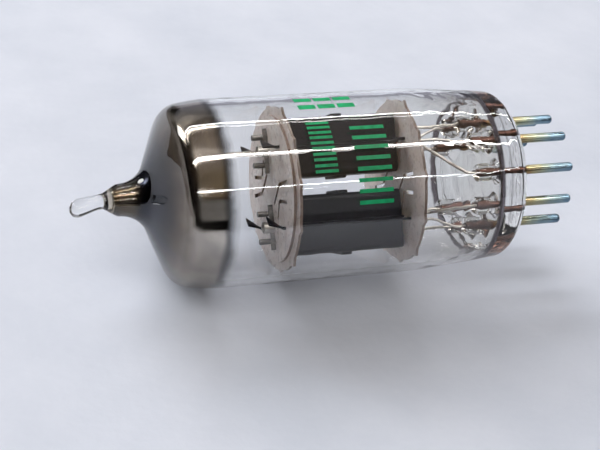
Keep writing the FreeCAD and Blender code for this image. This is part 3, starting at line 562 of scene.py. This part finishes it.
def mica_sheet():
    """Split sheet mica: pinkish beige, a little see-through, with cleavage flakes in its layers."""
    recipe = Recipe("mica")
    flakes = recipe.noise(300, detail=6, rough=0.65, warp=0.8)
    specks = recipe.noise(1800, detail=4)
    face = recipe.ramp(flakes, [
        (0.3, (0.75, 0.64, 0.60)),
        (0.55, (0.89, 0.80, 0.76)),
        (0.75, (0.95, 0.90, 0.87)),
    ])
    # The sheet's edges are painted dark brown: partly the brown that mica edges get from light lost between
    # the layers, and partly painted shade in the slot walls.
    lie = recipe.add("ShaderNodeSeparateXYZ", Vector=recipe.coordinates.outputs["Normal"]).outputs["X"]
    edge_shade_mask = recipe.fit(recipe.combine(lie, 0.0, "ABSOLUTE"), 0.3, 0.7, 1.0, 0.0)
    edge = recipe.ramp(flakes, [(0.3, (0.13, 0.085, 0.07)), (0.7, (0.28, 0.2, 0.16))])
    recipe.set(
        # Painted shade on the edges, mixed with the mica's own edge brown.
        Base_Color=recipe.mixed(edge_shade_mask, face, edge),
        Roughness=recipe.fit(specks, 0.35, 0.7, 0.22, 0.5),
        Subsurface_Weight=0.25,
        Subsurface_Radius=(0.5 * MM, 0.4 * MM, 0.3 * MM),
        Subsurface_Scale=1.0,
    )
    recipe.bump(flakes, 0.02, 0.4)
    return recipe.material


def ink():
    """Fired green ink, a little uneven."""
    recipe = Recipe("green_ink")
    patches = recipe.noise(1600, detail=6)
    recipe.set(
        Base_Color=recipe.ramp(patches, [(0.3, (0.0, 0.27, 0.09)), (0.7, (0.002, 0.46, 0.17))]),
        Roughness=recipe.fit(patches, 0.3, 0.7, 0.35, 0.65),
        Specular_IOR_Level=0.2,
    )
    recipe.bump(patches, 0.01, 0.5)
    return recipe.material


def paper():
    """Pale paper with a faint mottle and a fibrous surface."""
    recipe = Recipe("paper")
    mottle = recipe.noise(55, detail=8, rough=0.6)
    fibres = recipe.noise(900, detail=5)
    recipe.set(
        Base_Color=recipe.ramp(mottle, [(0.3, (0.59, 0.64, 0.745)), (0.7, (0.69, 0.735, 0.84))]),
        Roughness=recipe.fit(fibres, 0.3, 0.7, 0.75, 0.95),
    )
    recipe.bump(fibres, 0.12, 0.4)
    return recipe.material


bulb_glass = glass("bulb_glass", (0.955, 0.963, 0.96), 60)
button_glass = glass("button_glass", (0.86, 0.88, 0.87), 90)
getter_mirror = mirror()
pin_alloy = pin_metal()
seal_copper = metal("seal_copper", (0.045, 0.026, 0.022), (0.13, 0.066, 0.054), rough=(0.35, 0.6))
nickel = metal("nickel", (0.34, 0.32, 0.30), (0.66, 0.64, 0.60))
dull_nickel = metal("dull_nickel", (0.07, 0.065, 0.06), (0.22, 0.21, 0.20), rough=(0.35, 0.6))
carbonised = powdery(
    "carbonised_nickel", (0.002, 0.002, 0.004), (0.007, 0.007, 0.012), rough=(0.36, 0.5), shine=0.15
)
oxide = powdery("cathode_oxide", (0.70, 0.70, 0.66), (0.88, 0.88, 0.85))
alumina = powdery("heater_coat", (0.62, 0.62, 0.60), (0.82, 0.82, 0.80))
mica = mica_sheet()
green_ink = ink()


# ---------------------------------------------------------------- glass and mirror

outer_skin = divided(rounded(BULB_CORNERS), LONGEST_STEP)


def inner_line(depth):
    """The bulb's skin at a depth, from the seal to the closed end of the hollow in the neck."""
    hollow_end = HOLLOW_END_AXIAL + (depth - BULB_WALL)
    neck_radius = BULB_CORNERS[NECK_CORNER][1]
    past_end = (TIP_ROOT_AXIAL, neck_radius, 0.0)
    open_neck = divided(rounded(BULB_CORNERS[:NECK_CORNER + 1] + [past_end]), LONGEST_STEP)
    skin = [place for place in inset(open_neck, depth) if place.x > hollow_end + HOLLOW_END_BEND]
    last = skin[-1]
    corner = Vector((hollow_end, last.y, 0))
    axis = Vector((hollow_end, 0, 0))
    return skin + arc_through(last, corner, axis, HOLLOW_END_BEND, step=math.radians(10)) + [axis]


def tip_value(share, column):
    """A ring value at a share of the tip's length, by a smooth curve through the rings."""
    last = len(TIP_RINGS) - 1
    i = max(k for k in range(last) if TIP_RINGS[k][0] <= share + SAME_POINT)
    values = [TIP_RINGS[min(max(k, 0), last)][column] for k in range(i - 1, i + 3)]
    low, high = TIP_RINGS[i][0], TIP_RINGS[i + 1][0]
    t = (share - low) / (high - low)
    a, b, c, d = values
    slope = c - a
    bend = 2 * a - 5 * b + 4 * c - d
    twist = 3 * b - a - 3 * c + d
    return 0.5 * (2 * b + slope * t + bend * t ** 2 + twist * t ** 3)


def tip_line():
    """Points up the tip, smooth through its rings, ending on the axis."""
    length = TIP_ROOT_AXIAL - TIP_AXIAL
    shares = [ring[0] for ring in TIP_RINGS]
    line = []
    for low, high in zip(shares, shares[1:]):
        for k in range(1, TIP_STEPS + 1):
            share = low + (high - low) * k / TIP_STEPS
            line.append(Vector((TIP_ROOT_AXIAL - share * length, tip_value(share, 1), 0)))
    return line + [Vector((TIP_AXIAL, 0.0, 0))]


def tip_droop(x):
    """The tip leans away from the axis towards the cage's lower unit."""
    share = (TIP_ROOT_AXIAL - x) / (TIP_ROOT_AXIAL - TIP_AXIAL)
    if share <= 0:
        return Vector((0, 0, 0))
    return from_cage(0, 0, -tip_value(min(share, 1.0), 2))


hollow = inner_line(BULB_WALL)
envelope_outline = list(reversed(hollow)) + outer_skin + tip_line()
envelope_mesh = lathe("glass_envelope", envelope_outline, shift=tip_droop)
add_piece("bulb_glass", envelope_mesh, bulb_glass, ["glass_envelope"])


def film_line(depth):
    """The inner line as far as the mirror reaches."""
    return [place for place in inner_line(depth) if place.x < FILM_EDGE_AXIAL]


# The film bites a hair into the glass, so that no air shows between them.
film_back = film_line(BULB_WALL - FILM_BITE)
film_front = film_line(BULB_WALL - FILM_BITE + FILM_THICKNESS)
film_mesh = lathe("getter_film", list(reversed(film_back)) + film_front)
add_piece("getter_mirror", film_mesh, getter_mirror, ["getter_film"])

button_outline = rounded([
    (BUTTON_INNER_AXIAL, 0, 0),
    (BUTTON_INNER_AXIAL, BUTTON_INNER_RADIUS, BUTTON_INNER_BEND),
    (SEAL_AXIAL + SEAM_GAP, SEAL_RADIUS - BULB_WALL, 0),
    (SEAL_AXIAL + SEAM_GAP, SEAL_RADIUS, 0),
    (RIM_AXIAL, RIM_RADIUS, RIM_BEND),
    (button_high.x, SEAT_RADIUS, SEAT_BEND),
    (button_high.x, 0, 0),
])
pillar_outline = rounded([
    (button_low.x, 0, 0),
    (button_low.x, PILLAR_RADIUS, PILLAR_BEND),
    (BUTTON_INNER_AXIAL - PILLAR_FOOT_LENGTH, PILLAR_RADIUS, PILLAR_FOOT_BEND),
    (BUTTON_INNER_AXIAL, PILLAR_FOOT_RADIUS, 0),
    (BUTTON_INNER_AXIAL + PILLAR_ROOT, PILLAR_FOOT_RADIUS, 0),
    (BUTTON_INNER_AXIAL + PILLAR_ROOT, 0, 0),
])


def fused(name, base, parts):
    """One closed mesh from a base and the parts that grow out of it."""
    base_object = bpy.data.objects.new(name, base)
    part_object = bpy.data.objects.new(f"{name}_parts", joined(f"{name}_parts", parts))
    for item in (base_object, part_object):
        bpy.context.scene.collection.objects.link(item)
    union = base_object.modifiers.new("union", "BOOLEAN")
    union.operation = "UNION"
    union.solver = "EXACT"
    union.object = part_object
    bpy.context.view_layer.update()
    evaluated = base_object.evaluated_get(bpy.context.evaluated_depsgraph_get())
    result = bpy.data.meshes.new_from_object(evaluated)
    bpy.data.objects.remove(base_object)
    bpy.data.objects.remove(part_object)
    return smooth(result)


def mount_place(mount):
    """Side and height of a mount's axis, in millimetres."""
    return mount["pos_m"][1] / MM, mount["pos_m"][2] / MM


pillars = [lathe("pillar", pillar_outline, PIN_SEGMENTS, centre=mount_place(mount)) for mount in pin_mounts]
button_mesh = fused("glass_button", lathe("button_disc", button_outline), pillars)
add_piece("button_glass", button_mesh, button_glass, ["glass_button"])


# ---------------------------------------------------------------- pins, seal wires and leads

for number, mount in enumerate(pin_mounts, start=1):
    low, high = extent(f"pin_{number}")
    pin_radius = mount["dims"]["r_mm"]
    pin_outline = rounded([
        (low.x, 0, 0),
        (low.x, SEAL_WIRE_RADIUS, 0),
        (0, pin_radius, 0),
        (high.x, pin_radius, PIN_END_BEND),
        (high.x, 0, 0),
    ])
    pin_mesh = lathe(f"pin_{number}", pin_outline, PIN_SEGMENTS, centre=mount_place(mount))
    add_piece(f"contact_pin_{number}", pin_mesh, pin_alloy, [f"pin_{number}"])

seal_outline = [
    (seal_low.x, 0),
    (seal_low.x, SEAL_WIRE_RADIUS),
    (seal_high.x, SEAL_WIRE_RADIUS),
    (seal_high.x, 0),
]
seal_meshes = [
    lathe("seal_wire", seal_outline, WIRE_SIDES, centre=mount_place(mount)) for mount in pin_mounts
]
seal_mesh = joined("seal_wires", seal_meshes)
add_piece("glass_seal_wires", seal_mesh, seal_copper, ["seal_wires"])

# Where each lead turns back along the tube, and the side and height of the cage part it meets.
LEAD_ENDS = {
    1: (-8.6, 3.8, -4.0),
    2: (-8.8, 0.47, -5.65),
    3: (-8.8, -1.3, -4.6),
    4: (-10.0, -0.51, -3.94),
    5: (-9.4, -0.51, 3.94),
    6: (-8.6, -3.8, 4.0),
    7: (-8.8, -0.47, 5.65),
    8: (-8.8, 1.3, 4.6),
    9: (-9.4, 0.93, 3.05),
}
for number, (turn, side, height) in LEAD_ENDS.items():
    start_side, start_height = mount_place(pin_mounts[number - 1])
    corners = [
        Vector((lead_high.x, start_side, start_height)),
        Vector((LEAD_FIRST_BEND_AXIAL, start_side, start_height)),
        from_cage(turn, side, height),
        from_cage(lead_low.x, side, height),
    ]
    lead_mesh = tube(f"lead_{number}", rounded_path(corners, LEAD_BEND), LEAD_RADIUS)
    add_piece(f"inner_lead_{number}", lead_mesh, nickel, [f"lead_{number}"])


# ---------------------------------------------------------------- pieces that keep their CAD shape

KEPT_NODES = {
    "mica_cover": mica,
    "mica_top": mica,
    "mica_bottom": mica,
    "plate_1_inner": carbonised,
    "plate_1_outer": carbonised,
    "plate_2_inner": carbonised,
    "plate_2_outer": carbonised,
    "cathode_1": nickel,
    "cathode_2": nickel,
    "cathode_coating_1": oxide,
    "cathode_coating_2": oxide,
    "cathode_tabs": dull_nickel,
    "grid_rods_1": dull_nickel,
    "grid_rods_2": dull_nickel,
    "grid_winding_1": nickel,
    "grid_winding_2": nickel,
    "grid_stops": dull_nickel,
    "heater_1": alumina,
    "heater_2": alumina,
    "heater_strap": nickel,
    "getter_ring": nickel,
    "getter_post": nickel,
    "printed_mark": green_ink,
}
for node, material in KEPT_NODES.items():
    mesh = frame["nodes"][node].data
    mesh.materials.clear()
    mesh.materials.append(material)
    mesh.polygons.foreach_set("material_index", [0] * len(mesh.polygons))


# ---------------------------------------------------------------- floor, lights and camera

FLOOR_REACH = 1500
FLOOR_HEIGHT = -BULB_RADIUS
floor_corners = [
    (x * FLOOR_REACH, y * FLOOR_REACH, FLOOR_HEIGHT) for x, y in ((-1, -1), (1, -1), (1, 1), (-1, 1))
]
floor_mesh = bpy.data.meshes.new("floor")
floor_mesh.from_pydata([tuple(Vector(corner) * MM) for corner in floor_corners], [], [(0, 1, 2, 3)])
floor_mesh.materials.append(paper())
floor = bpy.data.objects.new("floor", floor_mesh)
bpy.context.scene.collection.objects.link(floor)

CAMERA_TARGET = Vector((-22.79, 0, -5.11)) * MM
CAMERA_AZIMUTH = math.radians(-22.21)
CAMERA_ELEVATION = math.radians(33.96)
CAMERA_ROLL = math.radians(8.29)
CAMERA_DISTANCE = 0.17983
CAMERA_LENS = 96.97


def soft_light(name, direction, distance, length, width, energy, colour, mirrored=True):
    """An area light facing the bulb, with its long side along the tube."""
    data = bpy.data.lights.new(name, "AREA")
    data.shape = "RECTANGLE"
    data.size, data.size_y = length, width
    data.energy = energy
    data.color = colour
    light = bpy.data.objects.new(name, data)
    bpy.context.scene.collection.objects.link(light)
    back = Vector(direction).normalized()
    up = back.cross(Vector((1, 0, 0))).normalized()
    along = up.cross(back)
    light.matrix_world = Matrix.Translation(CAMERA_TARGET + back * distance) @ Matrix(
        (along, up, back)
    ).transposed().to_4x4()
    # A reflection seen through the bulb's glass arrives as a transmitted ray.
    light.visible_glossy = mirrored
    light.visible_transmission = mirrored
    return light


# Strips of sky between glazing bars: the angle above the horizon behind, then width, brightness and colour.
# The two skins of the glass make two lines of each.
WINDOW_STRIPS = [
    (55.0, 0.030, 36, (1.0, 0.98, 0.95)),
    (101.5, 0.044, 50, (1.0, 0.96, 0.94)),
    (142.6, 0.017, 28, (0.95, 0.97, 1.0)),
]
STRIP_LENGTH = 2.0
STRIP_LEAN = 0.13
STRIP_DISTANCE = 1.0
for number, (angle, width, brightness, colour) in enumerate(WINDOW_STRIPS, start=1):
    rise = math.radians(angle)
    strip = soft_light(
        f"strip_{number}",
        (STRIP_LEAN, math.cos(rise), math.sin(rise)),
        distance=STRIP_DISTANCE,
        length=STRIP_LENGTH,
        width=width,
        energy=brightness * math.pi * STRIP_LENGTH * width,
        colour=colour,
    )
    strip.visible_diffuse = False
soft_light(
    "window_left",
    (-0.66, 0.63, 0.42),
    distance=1.0,
    length=0.22,
    width=0.3,
    energy=2.6,
    colour=(1.0, 1.0, 0.98),
)
soft_light(
    "soft_key",
    (-0.15, 0.85, 0.72),
    distance=1.3,
    length=0.9,
    width=0.7,
    energy=14.5,
    colour=(1.0, 0.985, 0.985),
    mirrored=False,
)
soft_light(
    "soft_fill",
    (-0.1, -0.5, 1.0),
    distance=1.4,
    length=1.3,
    width=1.3,
    energy=7.5,
    colour=(1.0, 0.99, 0.985),
    mirrored=False,
)


def room_shade():
    """A dim room: grey-blue behind, grey low in front and warm above, and dark on the left."""
    world = bpy.data.worlds.new("room")
    world.use_nodes = True
    nodes = Nodes(world.node_tree)
    direction = nodes.add("ShaderNodeTexCoord").outputs["Generated"]
    split = nodes.add("ShaderNodeSeparateXYZ", Vector=direction)
    front = nodes.ramp(split.outputs["Z"], [
        (0.0, (0.21, 0.21, 0.215)),
        (0.4, (0.20, 0.20, 0.20)),
        (0.47, (0.10, 0.08, 0.06)),
        (0.54, (0.23, 0.18, 0.12)),
        (0.85, (0.21, 0.17, 0.12)),
        (1.0, (0.31, 0.27, 0.24)),
    ])
    behind = nodes.ramp(split.outputs["Z"], [
        (0.0, (0.24, 0.24, 0.30)),
        (0.3, (0.27, 0.27, 0.29)),
        (0.6, (0.16, 0.145, 0.13)),
        (1.0, (0.26, 0.22, 0.19)),
    ])
    facing = nodes.ramp(split.outputs["Y"], [(0.0, (0.0, 0.0, 0.0)), (0.45, (1.0, 1.0, 1.0))])
    around = nodes.mixed(facing, front, behind)
    leftwards = nodes.combine(split.outputs["X"], -1.0, "MULTIPLY")
    left = nodes.ramp(leftwards, [(0.3, (1.0, 1.0, 1.0)), (0.65, (0.14, 0.12, 0.11))])
    background = nodes.tree.nodes["Background"]
    nodes.give(background.inputs["Color"], nodes.mixed(1.0, around, left, "MULTIPLY"))
    return world


bpy.context.scene.world = room_shade()


# Dark cards round the dome: how far off, their top's height, and their turns in degrees from the front.
DARK_CARDS = [
    (60, 3, -60, 40),
    (125, 35, -180, -60),
]
CARD_CENTRE = -30
CARD_STEP = 5
CARD_GAP = 0.1


def dark_cards():
    """Low dark walls in front and round the left to the back, for glossy and transmitted rays only."""
    points, faces = [], []
    for reach, high, first, last in DARK_CARDS:
        start = len(points)
        for degrees in range(first, last + 1, CARD_STEP):
            turn = math.radians(degrees)
            x, y = CARD_CENTRE + reach * math.sin(turn), -reach * math.cos(turn)
            points += [Vector((x, y, z)) * MM for z in (FLOOR_HEIGHT + CARD_GAP, high)]
        faces += [(i, i + 2, i + 3, i + 1) for i in range(start, len(points) - 2, 2)]
    mesh = bpy.data.meshes.new("dark_cards")
    mesh.from_pydata(points, [], faces)
    mesh.materials.append(powdery("card", (0.002, 0.002, 0.002), (0.005, 0.0045, 0.0045), shine=0.1))
    cards = bpy.data.objects.new("dark_cards", mesh)
    bpy.context.scene.collection.objects.link(cards)
    for ray in ("camera", "diffuse", "shadow", "volume_scatter"):
        setattr(cards, f"visible_{ray}", False)


dark_cards()

camera_data = bpy.data.cameras.new("camera")
camera_data.lens = CAMERA_LENS
camera_data.sensor_width = 36
camera = bpy.data.objects.new("camera", camera_data)
bpy.context.scene.collection.objects.link(camera)
back = Vector((
    math.sin(CAMERA_AZIMUTH) * math.cos(CAMERA_ELEVATION),
    -math.cos(CAMERA_AZIMUTH) * math.cos(CAMERA_ELEVATION),
    math.sin(CAMERA_ELEVATION),
))
camera.location = CAMERA_TARGET + back * CAMERA_DISTANCE
camera.rotation_mode = "QUATERNION"
camera.rotation_quaternion = (-back).to_track_quat("-Z", "Y") @ Quaternion((0, 0, 1), CAMERA_ROLL)
camera_data.clip_start = 0.01
camera_data.clip_end = 10
bpy.context.scene.camera = camera
bpy.context.scene.view_settings.view_transform = "Standard"
